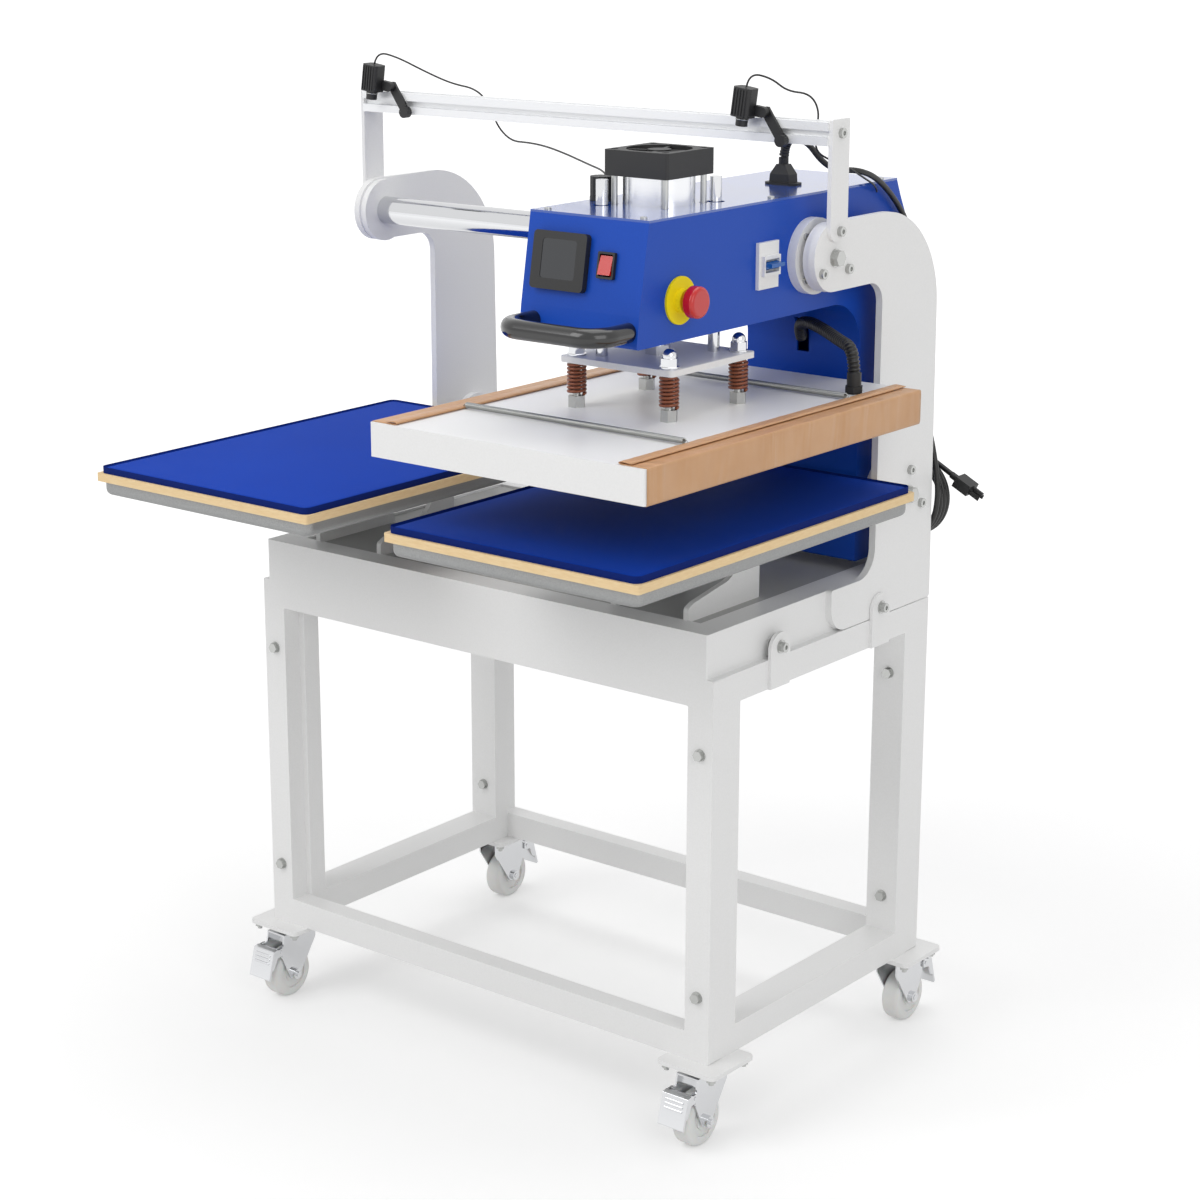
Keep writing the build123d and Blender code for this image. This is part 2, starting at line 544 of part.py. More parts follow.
# Air cylinder: base block, barrel and cap
floor_z = HEAD_UNDER + SHEET
base_block = block(HEAD_X - BASE_BLOCK / 2, HEAD_X + BASE_BLOCK / 2, PRESS_Y - BASE_BLOCK / 2, PRESS_Y + BASE_BLOCK / 2, floor_z, floor_z + BASE_H)
cylinder = base_block + rod_z(HEAD_X, PRESS_Y, floor_z, BARREL_TOP, BARREL_R)
cylinder = cylinder - rod_z(HEAD_X, PRESS_Y, floor_z + BASE_H, BARREL_TOP + 5, BORE_R) - rod_z(HEAD_X, PRESS_Y, floor_z - 5, BARREL_TOP, ROD_R + RUN_FIT)
save("cylinder_body", cylinder)
cap = block(HEAD_X - CAP / 2, HEAD_X + CAP / 2, PRESS_Y - CAP / 2, PRESS_Y + CAP / 2, BARREL_TOP, BARREL_TOP + CAP_H)
cap = fillet(cap.edges().filter_by(Axis.Z), 4.0)
cap_top = BARREL_TOP + CAP_H
cap = cap - rod_z(HEAD_X, PRESS_Y, cap_top - 7, cap_top + 5, 42)
cap = cap + rod_z(HEAD_X, PRESS_Y, cap_top - 8, cap_top - 1, 15)
for degrees in (0, 90, 180, 270):
    spoke = Pos(HEAD_X, PRESS_Y, cap_top - 5) * Rot(0, 0, degrees + 20) * Pos(28, 0, 0) * Box(30, 5, 6)
    cap = cap + spoke
for dx in (-1, 1):
    for dy in (-1, 1):
        cap = cap - rod_z(HEAD_X + dx * TIE, PRESS_Y + dy * TIE, cap_top - 5, cap_top + 5, 5)
save("cylinder_cap", cap)

# Pressure knob on the top cover
KNOB_X = 196.0
KNOB_Y = -225.0
knob = rod_z(KNOB_X, KNOB_Y, HEAD_TOP + 0.3, HEAD_TOP + 31, 14.5)
for i in range(12):
    a = math.radians(i * 30)
    knob = knob - rod_z(KNOB_X + 15.2 * math.cos(a), KNOB_Y + 15.2 * math.sin(a), HEAD_TOP - 1, HEAD_TOP + 40, 1.6)
knob = knob + rod_z(KNOB_X, KNOB_Y, HEAD_TOP + 0.3, HEAD_TOP + 5, 15)
save("pressure_knob", knob)

# Mains inlet with the connector plugged in from above
MAINS = 8.0
INLET_X = 284.0
INLET_Y = 54.0
inlet = block(INLET_X - 25, INLET_X + 25, INLET_Y - 13.5, INLET_Y + 13.5, HEAD_TOP, HEAD_TOP + 3)
inlet = fillet(inlet.edges().filter_by(Axis.Z), 10.0)
body = loft([Pos(INLET_X, INLET_Y, HEAD_TOP + 3) * Rectangle(32, 20), Pos(INLET_X, INLET_Y, HEAD_TOP + 14) * Rectangle(30, 20)], ruled=True)
neck_foot = Pos(INLET_X, INLET_Y, HEAD_TOP + 14) * Rectangle(30, 20)
neck = loft([neck_foot, Pos(INLET_X, INLET_Y, HEAD_TOP + 27) * Rectangle(14, 14)], ruled=True)
boot = rod_z(INLET_X, INLET_Y, HEAD_TOP + 26, HEAD_TOP + 36, MAINS / 2 + 2.6)
boot = boot - rod_z(INLET_X, INLET_Y, HEAD_TOP + 27.5, HEAD_TOP + 40, MAINS / 2 + 0.4)
save("mains_inlet", group([inlet, body + neck + boot]))

# Piston rod with its nut, guide rods and spring plate
rod_low = SPRING_PLATE_TOP
piston = rod_z(HEAD_X, PRESS_Y, rod_low, BARREL_TOP - 20, ROD_R) + hex_z(HEAD_X, PRESS_Y, rod_low, rod_low + 12, 30)
piston = piston + rod_z(HEAD_X, PRESS_Y, BARREL_TOP - 20 - PISTON_H, BARREL_TOP - 20, BORE_R - RUN_FIT)
save("press_rods", group([piston] + [rod_z(gx, gy, rod_low, GUIDE_TOP, GUIDE_R) for gx, gy in rods]))
half_sp = SPRING_PLATE / 2
plate_bottom = SPRING_PLATE_TOP - SPRING_PLATE_T
spring_plate = block(HEAD_X - half_sp, HEAD_X + half_sp, PRESS_Y - half_sp, PRESS_Y + half_sp, plate_bottom, SPRING_PLATE_TOP)
spring_plate = fillet(spring_plate.edges().filter_by(Axis.Z), 6.0)
studs_at = [(HEAD_X + dx * STUD, PRESS_Y + dy * STUD) for dx in (-1, 1) for dy in (-1, 1)]
for sx, sy in studs_at:
    spring_plate = spring_plate - rod_z(sx, sy, plate_bottom - 5, SPRING_PLATE_TOP + 5, STUD_R + SHAFT_FIT)
save("spring_plate", spring_plate)

# Heater: plate in a folded cover, wrapped in a non stick sheet
hw = HEATER_W / 2
hl = HEATER_L / 2
heater_top = HEATER_LOW + HEATER_H
heater_y = PRESS_Y - HEATER_AHEAD
cover_h = block(HEAD_X - hw, HEAD_X + hw, heater_y - hl, heater_y + hl, HEATER_LOW, heater_top)
cover_h = fillet(cover_h.edges().filter_by(Axis.Z), 2.0)
cover_h = cover_h - block(HEAD_X - hw + SHELL, HEAD_X + hw - SHELL, heater_y - hl + SHELL, heater_y + hl - SHELL, HEATER_LOW - 5, heater_top - SHELL)
save("heater_cover", cover_h)
core = block(HEAD_X - hw + SHELL, HEAD_X + hw - SHELL, heater_y - hl + SHELL, heater_y + hl - SHELL, HEATER_LOW, HEATER_LOW + HOT_PLATE_T)
save("heater_plate", core)
w0 = hw
w1 = hw + SHEET_T
sheet_l = hl - 4.0
sheet = block(HEAD_X - w1, HEAD_X + w1, heater_y - sheet_l, heater_y + sheet_l, HEATER_LOW - SHEET_T, heater_top + SHEET_T)
sheet = sheet - block(HEAD_X - w0, HEAD_X + w0, heater_y - sheet_l - 5, heater_y + sheet_l + 5, HEATER_LOW, heater_top)
sheet = sheet - block(HEAD_X - hw + FOLD, HEAD_X + hw - FOLD, heater_y - sheet_l - 5, heater_y + sheet_l + 5, heater_top - 1, heater_top + 5)
save("non_stick_sheet", sheet)

# Studs with hex bosses, domed nuts above the spring plate and the conduit gland
hardware = []
boss_top = heater_top + BOSS_H
for sx, sy in studs_at:
    hardware.append(hex_z(sx, sy, heater_top, boss_top, BOSS_AF) + rod_z(sx, sy, boss_top - 1, SPRING_PLATE_TOP + 14, STUD_R))
gland = hex_z(GLAND_X, GLAND_Y, heater_top + SHEET_T + 1, heater_top + 10, 22) + rod_z(GLAND_X, GLAND_Y, heater_top, heater_top + GLAND_H, 9.5)
gland = gland - rod_z(GLAND_X, GLAND_Y, heater_top + 12, heater_top + GLAND_H + 5, CONDUIT_R + 0.3)
hardware.append(gland)
save("heater_hardware", group(hardware))
nuts = []
for sx, sy in studs_at:
    nut = rod_z(sx, sy, SPRING_PLATE_TOP, SPRING_PLATE_TOP + 2.5, 12.5) + hex_z(sx, sy, SPRING_PLATE_TOP + 2.5, SPRING_PLATE_TOP + 13, 20)
    nut = nut + rod_z(sx, sy, SPRING_PLATE_TOP + 12, SPRING_PLATE_TOP + 16, 9) + Pos(sx, sy, SPRING_PLATE_TOP + 16) * Sphere(9)
    nut = nut - rod_z(sx, sy, SPRING_PLATE_TOP - 1, SPRING_PLATE_TOP + 14.2, STUD_R + SHAFT_FIT)
    nuts.append(nut)
save("stud_nuts", group(nuts))


def biarc(p1, t1, p2, t2):
    # Two tangent arcs that join two points along the given directions
    v = p2 - p1
    t = t1 + t2
    den = 2 * (1 - t1.dot(t2))
    if den < 1e-9:
        d = v.dot(v) / (4 * v.dot(t2))
    else:
        d = (-v.dot(t) + math.sqrt(v.dot(t) ** 2 + den * v.dot(v))) / den
    q1 = p1 + t1 * d
    q2 = p2 - t2 * d
    q = (q1 + q2) * 0.5
    tq = (q2 - q1).normalized()
    return [Edge.make_tangent_arc(p1, t1, q), Edge.make_tangent_arc(q, tq, p2)]


def helix_edges(centre, u, v, w, radius, pitch, start, turns, step):
    # Helix about w in frame u, v from start degrees, as biarcs of step degrees
    edges = []
    count = round(turns * 360 / step)

    def at(i):
        a = math.radians(start + i * step)
        place = centre + u * (radius * math.cos(a)) + v * (radius * math.sin(a)) + w * (pitch * i * step / 360)
        along = (v * (radius * math.cos(a)) - u * (radius * math.sin(a))) * (2 * math.pi) + w * pitch
        return place, along.normalized()

    for i in range(count):
        p1, t1 = at(i)
        p2, t2 = at(i + 1)
        edges += biarc(p1, t1, p2, t2)
    return edges


# Die springs between the bosses and the spring plate
spring_gap = 0.3
low = boss_top + spring_gap + SPRING_WIRE / 2
high = plate_bottom - spring_gap - SPRING_WIRE / 2
pitch = (high - low) / SPRING_TURNS
print("spring gap between turns", round(pitch - SPRING_WIRE, 2))
one = helix_edges(Vector(0, 0, 0), Vector(1, 0, 0), Vector(0, 1, 0), Vector(0, 0, 1), SPRING_MEAN, pitch, 0, SPRING_TURNS, 90)
path = Wire(one)
coil = sweep(Plane(origin=path.position_at(0), z_dir=path.tangent_at(0)) * Circle(SPRING_WIRE / 2), path=path)
save("press_springs", group([Pos(sx, sy, low) * coil for sx, sy in studs_at]))

# Hold down springs across the heater, closely wound, with hooked ends
holds = []
hold_z = heater_top + SHEET_T + HOLD_R + 0.3
for dy in (-1, 1):
    hy = PRESS_Y + dy * HOLD_Y
    body_h = rod_x(HEAD_X - hw + FOLD + 12, HEAD_X + hw - FOLD - 12, hy, hold_z, HOLD_R)
    hooks = rod_x(HEAD_X - hw + FOLD - 6, HEAD_X + hw - FOLD + 6, hy, hold_z, 1.0)
    tabs = rod_y(HEAD_X - hw + FOLD - 6, hy - 9, hy + 9, hold_z, HOLD_R) + rod_y(HEAD_X + hw - FOLD + 6, hy - 9, hy + 9, hold_z, HOLD_R)
    holds.append(body_h + hooks + tabs)
save("hold_springs", group(holds))


def soft_route(points, diameter, label):
    # Straight runs joined by tangent arcs, the radius taken from the shorter run
    radii = []
    for i in range(1, len(points) - 1):
        a = Vector(*points[i - 1]) - Vector(*points[i])
        b = Vector(*points[i + 1]) - Vector(*points[i])
        turn = math.pi - math.acos(max(-1.0, min(1.0, a.normalized().dot(b.normalized()))))
        radii.append(0.45 * min(a.length, b.length) / math.tan(turn / 2))
    edges = []
    here = Vector(*points[0])
    for i in range(1, len(points) - 1):
        p = Vector(*points[i])
        a = (Vector(*points[i - 1]) - p).normalized()
        b = (Vector(*points[i + 1]) - p).normalized()
        turn = math.pi - math.acos(max(-1.0, min(1.0, a.dot(b))))
        reach = radii[i - 1] * math.tan(turn / 2)
        start = p + a * reach
        end = p + b * reach
        edges.append(Edge.make_line(here, start))
        edges.append(Edge.make_tangent_arc(start, a * -1, end))
        here = end
    edges.append(Edge.make_line(here, Vector(*points[-1])))
    print(label, "radii in diameters", [round(r / diameter, 1) for r in radii], "longest run", round(max((Vector(*points[i + 1]) - Vector(*points[i])).length for i in range(len(points) - 1)), 1))
    return edges


def tube(edges, radius, label):
    path = Wire(edges)
    body = sweep(Plane(origin=path.position_at(0), z_dir=path.tangent_at(0)) * Circle(radius), path=path)
    ideal = math.pi * radius ** 2 * path.length
    print(label, "length", round(path.length, 1), "volume ratio", round(body.volume / ideal, 4))
    return body


# Cords of the two pointer lamps
LAMP_CORD = 2.6
right_lamp = [(290.4, -43.3, 1381.9), (294, -42.5, 1400), (322, -33, 1394), (338, -20, 1377), (360, 0, 1374), (368, 11, 1352),
              (362, 12, 1322), (360, 16, 1298), (374, 32, 1286), (380, 64, 1275), (381, 100, 1258), (379, 134, 1244), (368.4, 152, 1234)]
left_lamp = [(-365.6, -43.3, 1381.9), (-361, -42.5, 1400), (-326, -37, 1393), (-288, -22, 1374), (-250, -6, 1357), (-214, 6, 1351),
             (-192, 11, 1328), (-180, 11, 1300), (-150, 6, 1281), (-100, -16, 1284), (-45, -45, 1285), (10, -74, 1282),
             (60, -104, 1279), (108, -136, 1277), (150, -164, 1276), (181, -190, 1269), (190, -198, 1248.2)]
save("lamp_cords", group([tube(soft_route(right_lamp, LAMP_CORD, "right lamp cord"), LAMP_CORD / 2, "right lamp cord"),
                          tube(soft_route(left_lamp, LAMP_CORD, "left lamp cord"), LAMP_CORD / 2, "left lamp cord")]))

# Mains cord: over the rear edge, down behind, then a put away coil
COIL_R = 56.0
COIL_X = 354.0
COIL_Y = 267.0
COIL_Z = 790.0
COIL_LOOPS = 4
COIL_END = 62.0
TAIL = 34.0
COIL_PITCH = 9.2
mains = [(INLET_X, INLET_Y, HEAD_TOP + 28), (INLET_X, INLET_Y, 1308), (318, 55, 1308), (340, 59, 1281), (358, 68, 1269),
         (376, 92, 1269), (378, 134, 1256), (376, 182, 1226), (374, 226, 1186), (374, 258, 1138), (376, 272, 1082),
         (380, 277, 1026), (386, 277, 970), (395, 276, 914), (404, 273, 872),
         (COIL_X + COIL_R, COIL_Y, COIL_Z), (COIL_X + COIL_R, COIL_Y, COIL_Z)]
loops = helix_edges(Vector(COIL_X, COIL_Y, COIL_Z), Vector(1, 0, 0), Vector(0, 0, -1), Vector(0, 1, 0), COIL_R, COIL_PITCH, 0, (COIL_LOOPS * 360 - COIL_END) / 360, (COIL_LOOPS * 360 - COIL_END) / 50)
start_tangent = (Vector(0, 0, -1) * (COIL_R * 2 * math.pi) + Vector(0, 1, 0) * COIL_PITCH).normalized()
mains[-1] = tuple(Vector(COIL_X + COIL_R, COIL_Y, COIL_Z))
mains[-2] = tuple(Vector(COIL_X + COIL_R, COIL_Y, COIL_Z) - start_tangent * 44)
print("coil gap", round(COIL_PITCH - MAINS, 2))
leave = loops[-1].position_at(1)
leave_dir = loops[-1].tangent_at(1)
end_at = leave + leave_dir * TAIL
tail = [Edge.make_line(leave, end_at)]
save("mains_cord", tube(soft_route(mains, MAINS, "mains cord") + loops + tail, MAINS / 2, "mains cord"))

# Plug at the free end
plug_plane = Plane(origin=end_at + leave_dir * 0.3, x_dir=(0, 1, 0), z_dir=leave_dir)
plug = plug_plane * (Pos(0, 0, 6) * Cylinder(5.0, 12) + Pos(0, 0, 25) * Box(24, 16, 26))
for dx in (-1, 1):
    plug = plug + plug_plane * Pos(dx * 6.3, -2, 46) * Box(1.5, 6.3, 18)
plug = plug + plug_plane * Pos(0, 4.5, 46) * Cylinder(2.4, 18)
save("mains_plug", plug)

# Corrugated conduit from the column slot to the gland
conduit_points = [(272, 124, 1030), (280, 102, 1052), (312, 80, 1062), (352, 58, 1058), (392, 35, 1051), (GLAND_X, GLAND_Y, 1046), (GLAND_X, GLAND_Y, heater_top + 13)]
route = Wire(soft_route(conduit_points, CONDUIT_R * 2, "conduit"))
RIB_PITCH = 5.0
ribs = int(route.length // RIB_PITCH) - 1
sections = []
holes = []


def ring_at(distance, radius):
    place = route.position_at(distance / route.length)
    along = route.tangent_at(distance / route.length)
    side = Vector(0.4, 0.8, 0.45).normalized()
    across = (side - along * side.dot(along)).normalized()
    return Plane(origin=place, x_dir=across, z_dir=along) * Circle(radius)


sections.append(ring_at(0.0, CONDUIT_R - 1.5))
for i in range(ribs):
    base = 2.0 + i * RIB_PITCH
    for offset, rr in ((0.0, CONDUIT_R - 1.5), (1.2, CONDUIT_R), (2.8, CONDUIT_R), (4.0, CONDUIT_R - 1.5)):
        sections.append(ring_at(base + offset, rr))
    holes.append(ring_at(base + 0.5, CONDUIT_R - 2.6))
sections.append(ring_at(route.length, CONDUIT_R - 1.5))
holes = [ring_at(0.0, CONDUIT_R - 2.6)] + holes + [ring_at(route.length, CONDUIT_R - 2.6)]
conduit = loft(sections, ruled=True) - loft(holes, ruled=True)
print("conduit ribs", ribs, "length", round(route.length, 1))
save("conduit", conduit)
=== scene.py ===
import bpy
import math
from mathutils import Matrix, Vector, noise


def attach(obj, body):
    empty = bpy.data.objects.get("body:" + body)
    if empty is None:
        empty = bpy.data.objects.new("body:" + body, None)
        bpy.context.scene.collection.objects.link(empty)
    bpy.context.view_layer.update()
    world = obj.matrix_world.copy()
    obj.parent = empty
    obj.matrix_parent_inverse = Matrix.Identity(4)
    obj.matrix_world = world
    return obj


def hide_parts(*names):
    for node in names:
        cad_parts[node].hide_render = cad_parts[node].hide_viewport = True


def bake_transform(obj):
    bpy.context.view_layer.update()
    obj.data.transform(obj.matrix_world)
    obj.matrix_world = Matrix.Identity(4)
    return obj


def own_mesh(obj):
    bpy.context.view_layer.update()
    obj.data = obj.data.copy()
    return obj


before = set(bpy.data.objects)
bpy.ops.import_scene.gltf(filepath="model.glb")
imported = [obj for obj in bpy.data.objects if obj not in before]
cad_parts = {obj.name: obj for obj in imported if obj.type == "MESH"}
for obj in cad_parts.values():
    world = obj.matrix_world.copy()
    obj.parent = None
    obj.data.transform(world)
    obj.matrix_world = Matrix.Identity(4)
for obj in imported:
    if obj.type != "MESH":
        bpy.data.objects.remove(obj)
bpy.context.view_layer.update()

# Camera: it stands in front of the right corner of the machine, a little above the
# heater, with a moderately long lens, as the photograph was taken. Places in this
# file are in millimetres on the machine, and at() puts them in the frame, whose
# origin is under the middle of the whole footprint.
FOOTPRINT_MIDDLE = (6.75, -99.0)


def at(x, y, z):
    return Vector(((x - FOOTPRINT_MIDDLE[0]) / 1000, (y - FOOTPRINT_MIDDLE[1]) / 1000, z / 1000))


turn, rise, roll = (math.radians(angle) for angle in (39.9, 15.4, -0.32))
back = Vector((math.sin(turn) * math.cos(rise), -math.cos(turn) * math.cos(rise), math.sin(rise)))
level = Vector((math.cos(turn), math.sin(turn), 0))
upright = back.cross(level)
right = level * math.cos(roll) + upright * math.sin(roll)
up = upright * math.cos(roll) - level * math.sin(roll)
camera_data = bpy.data.cameras.new("camera")
camera = bpy.data.objects.new("camera", camera_data)
bpy.context.scene.collection.objects.link(camera)
facing_back = Matrix((right, up, back)).transposed().to_4x4()
camera.matrix_world = Matrix.Translation(at(2302.4, -2889.2, 1673.7)) @ facing_back
camera_data.sensor_width = 36
camera_data.lens = 79.68
camera_data.shift_x = 0.0578
camera_data.shift_y = -0.0125
camera_data.clip_end = 300
bpy.context.scene.camera = camera

# Cords: black PVC sheathed leads. The two thin ones feed the pointer lamps and the
# thicker one is the mains lead, which ends in a moulded plug after its coil. The
# sheath is smooth extruded PVC, so it gives a soft narrow highlight.


def colour(text):
    values = [int(text[i:i + 2], 16) / 255 for i in (1, 3, 5)]
    return tuple(v / 12.92 if v <= 0.04045 else ((v + 0.055) / 1.055) ** 2.4 for v in values) + (1.0,)


def put(material, kind, settings=None, inputs=None):
    # Adds one node with its settings and with its inputs set or linked
    made = material.node_tree.nodes.new(kind)
    for key, value in (settings or {}).items():
        setattr(made, key, value)
    for key, value in (inputs or {}).items():
        if isinstance(value, bpy.types.NodeSocket):
            material.node_tree.links.new(value, made.inputs[key])
        else:
            made.inputs[key].default_value = value
    return made


def surface(name, tint, rough, metal=0.0, **sockets):
    material = bpy.data.materials.new(name)
    material.use_nodes = True
    shader = material.node_tree.nodes["Principled BSDF"]
    shader.inputs["Base Color"].default_value = colour(tint)
    shader.inputs["Roughness"].default_value = rough
    shader.inputs["Metallic"].default_value = metal
    for key, value in sockets.items():
        shader.inputs[key.replace("_", " ")].default_value = value
    return material, shader


def grain(material, shader, size_mm, height_mm, detail=2.0, stretch=(1, 1, 1)):
    # Bump of a given real grain size and height, on the piece's own coordinates
    place = put(material, "ShaderNodeTexCoord")
    scaled = put(material, "ShaderNodeMapping",
                 inputs={"Vector": place.outputs["Object"], "Scale": stretch})
    speckle = put(material, "ShaderNodeTexNoise",
                  inputs={"Vector": scaled.outputs["Vector"], "Scale": 1000 / size_mm, "Detail": detail})
    relief = put(material, "ShaderNodeBump",
                 inputs={"Height": speckle.outputs["Fac"], "Distance": height_mm / 1000, "Strength": 1.0})
    material.node_tree.links.new(relief.outputs["Normal"], shader.inputs["Normal"])
    return speckle


def led_tube(name, route, diameter, material):
    # A smooth spline along the route, then a round tube round it
    line = bpy.data.curves.new(name, "CURVE")
    line.dimensions = "3D"
    line.resolution_u = 6
    spline = line.splines.new("NURBS")
    spline.points.add(len(route) - 1)
    for point, place in zip(spline.points, route):
        point.co = (*place, 1.0)
    spline.order_u = 3
    spline.use_endpoint_u = True
    holder = bpy.data.objects.new(name + "_line", line)
    bpy.context.scene.collection.objects.link(holder)
    bpy.context.view_layer.update()
    graph = bpy.context.evaluated_depsgraph_get()
    bare_line = bpy.data.meshes.new_from_object(holder.evaluated_get(graph))
    followed = [v.co.copy() for v in bare_line.vertices]
    line.bevel_depth = diameter / 2
    line.bevel_resolution = 4
    line.use_fill_caps = True
    bpy.context.view_layer.update()
    graph = bpy.context.evaluated_depsgraph_get()
    mesh = bpy.data.meshes.new_from_object(holder.evaluated_get(graph))
    bpy.data.objects.remove(holder)
    tube = bpy.data.objects.new(name, mesh)
    bpy.context.scene.collection.objects.link(tube)
    mesh.materials.clear()
    mesh.materials.append(material)
    mesh.shade_smooth()
    length = sum((b - a).length for a, b in zip(followed, followed[1:]))
    return tube, followed, length


pvc, pvc_shader = surface("extruded_pvc_sheath", "#141414", 0.42)
grain(pvc, pvc_shader, 1.2, 0.02)
lamp_routes = {
    "lamp_lead_right": (
        (290.4, -43.3, 1381.9), (294, -42.5, 1400), (322, -33, 1394), (338, -20, 1377), (360, 0, 1374),
        (368, 11, 1352), (362, 12, 1322), (360, 16, 1298), (374, 32, 1286), (380, 64, 1275),
        (381, 100, 1258), (379, 134, 1244), (368.4, 152, 1234)),
    "lamp_lead_left": (
        (-365.6, -43.3, 1381.9), (-361, -42.5, 1400), (-326, -37, 1393), (-288, -22, 1374), (-250, -6, 1357),
        (-214, 6, 1351), (-192, 11, 1328), (-180, 11, 1300), (-150, 6, 1281), (-100, -16, 1284),
        (-45, -45, 1285), (10, -74, 1282), (60, -104, 1279), (108, -136, 1277), (150, -164, 1276),
        (181, -190, 1269), (190, -198, 1248.2))}
for name, points in lamp_routes.items():
    route = [at(*p) for p in points]
    lead, followed, length = led_tube(name, route, 0.0026, pvc)
    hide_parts("lamp_cords")
    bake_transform(lead)

# Mains lead: out of the connector on the head, over the side plate, down behind it
# and into a loose coil whose loops lie side by side. The coil's points stand a
# little outside its radius, because the spline cuts inside them.
mains_route = [at(*p) for p in (
    (284, 54, 1275), (284, 54, 1308), (318, 55, 1308), (340, 59, 1281), (358, 68, 1269), (376, 92, 1269),
    (378, 134, 1256), (375, 182, 1226), (372, 226, 1186), (365, 258, 1138), (363, 271, 1082),
    (367, 272, 1026), (374, 272, 970), (384, 271, 914), (399, 270, 866), (410.2, 267, 818))]
coil_x, coil_y, coil_z = 354.0, 267.0, 790.0
coil_radius, coil_pitch, coil_turns = 56.0, 9.2, (4 * 360 - 62) / 360
points_per_turn = 14
steps = round(coil_turns * points_per_turn)
for i in range(steps + 1):
    share = i / steps
    angle = 2 * math.pi * coil_turns * share
    reach = (coil_radius + 0.6) * (1.0 if i == 0 else 1.008)
    mains_route.append(at(coil_x + reach * math.cos(angle), coil_y + coil_pitch * coil_turns * share,
                          coil_z - reach * math.sin(angle)))
leaving = Vector((-math.sin(angle), 0, -math.cos(angle)))
for tail in (0.016, 0.0178):
    mains_route.append(mains_route[-1] + leaving * tail)
mains, followed, length = led_tube("mains_lead", mains_route, 0.008, pvc)
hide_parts("mains_cord")
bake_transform(mains)

# Strain relief: the connector's boot carried on up the lead, grooved so that it can
# bend, and moulded in one with the connector.


def ridged(name, centre_line, radius_at, material, ring=20):
    # A round skin about a line, its radius changing with the distance along it
    slice_length = 0.0006
    dense, travelled, sides = [], 0.0, []
    for a, b in zip(centre_line, centre_line[1:]):
        count = max(1, round((b - a).length / slice_length))
        dense += [(a.lerp(b, k / count), (b - a).normalized()) for k in range(count)]
    verts, last = [], dense[0][0]
    guide = Vector((0.4, 0.8, 0.45))
    for place, along in dense:
        travelled += (place - last).length
        last = place
        across = (guide - along * guide.dot(along)).normalized()
        third = along.cross(across)
        for k in range(ring):
            turned = 2 * math.pi * k / ring
            outward = across * math.cos(turned) + third * math.sin(turned)
            verts.append(place + outward * radius_at(travelled))
    for i in range(len(dense) - 1):
        for k in range(ring):
            a, b = i * ring + k, i * ring + (k + 1) % ring
            sides.append((a, b, b + ring, a + ring))
    sides.append(tuple(reversed(range(ring))))
    sides.append(tuple(range((len(dense) - 1) * ring, len(dense) * ring)))
    mesh = bpy.data.meshes.new(name)
    mesh.from_pydata(verts, [], sides)
    mesh.shade_smooth()
    mesh.materials.append(material)
    skin = bpy.data.objects.new(name, mesh)
    bpy.context.scene.collection.objects.link(skin)
    return skin


def boot_radius(far):
    # It tapers from 6.7 mm, with a groove 0.6 mm deep every 4 mm
    groove = 0.0006 if far % 0.004 > 0.0024 else 0.0
    return 0.0067 - 0.045 * far - groove


boot_length = 0.034
boot_line = [p for p in followed if (p - followed[0]).length < boot_length]
relief = ridged("lead_strain_relief", boot_line[1:], boot_radius, pvc, 28)
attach(relief, "head")

# Stand, side plates, brackets and heater cover: welded mild steel, powder coated
# white. The baked powder leaves a faint orange peel about 2 mm across and a satin
# sheen that softens each reflection. The moulded breaker body is given it too.
white_coat, shader = surface("white_powder_coat_on_steel", "#f0f0ef", 0.42,
                             Coat_Weight=0.15, Coat_Roughness=0.3)
peel = grain(white_coat, shader, 2.2, 0.03)
tint = put(white_coat, "ShaderNodeMix", {"data_type": "RGBA"},
           {"Factor": peel.outputs["Fac"], "A": colour("#ececeb"), "B": colour("#f4f4f4")})
white_coat.node_tree.links.new(tint.outputs["Result"], shader.inputs["Base Color"])


def dress(material, *names):
    # Gives the CAD nodes of these names one material in place of their own
    for name in names:
        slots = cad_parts[name].data.materials
        slots.clear()
        slots.append(material)


dress(white_coat, "stand_end_frames", "stand_side_frames", "tray_frame", "platen_brackets", "side_plates",
      "shaft_end_discs", "beam_uprights", "caster_plates", "head_bearings", "spring_plate", "heater_cover",
      "breaker_body")

# Head housing: folded sheet steel, powder coated royal blue with a satin sheen. Its
# top cover has a glossier coat, so it mirrors the cylinder and the lamp leads.
blue_coat, shader = surface("blue_powder_coat_on_steel", "#0848b4", 0.42, Specular_IOR_Level=0.3)
peel = grain(blue_coat, shader, 2.0, 0.025)
tint = put(blue_coat, "ShaderNodeMix", {"data_type": "RGBA"},
           {"Factor": peel.outputs["Fac"], "A": colour("#0544ae"), "B": colour("#0a4cba")})
blue_coat.node_tree.links.new(tint.outputs["Result"], shader.inputs["Base Color"])
dress(blue_coat, "head_housing")
cover_coat, shader = surface("blue_gloss_coat_on_steel", "#1c4fae", 0.22, Coat_Weight=1.0, Coat_Roughness=0.12)
grain(cover_coat, shader, 2.0, 0.01)
dress(cover_coat, "head_cover")

# Bolts, washers and studs: zinc plated steel, bright with a fine turned grain.
zinc, shader = surface("zinc_plated_steel", "#b9bab8", 0.28, 1.0)
grain(zinc, shader, 0.6, 0.01)
dress(zinc, "stand_bolts", "side_bolts", "head_screws", "heater_hardware")

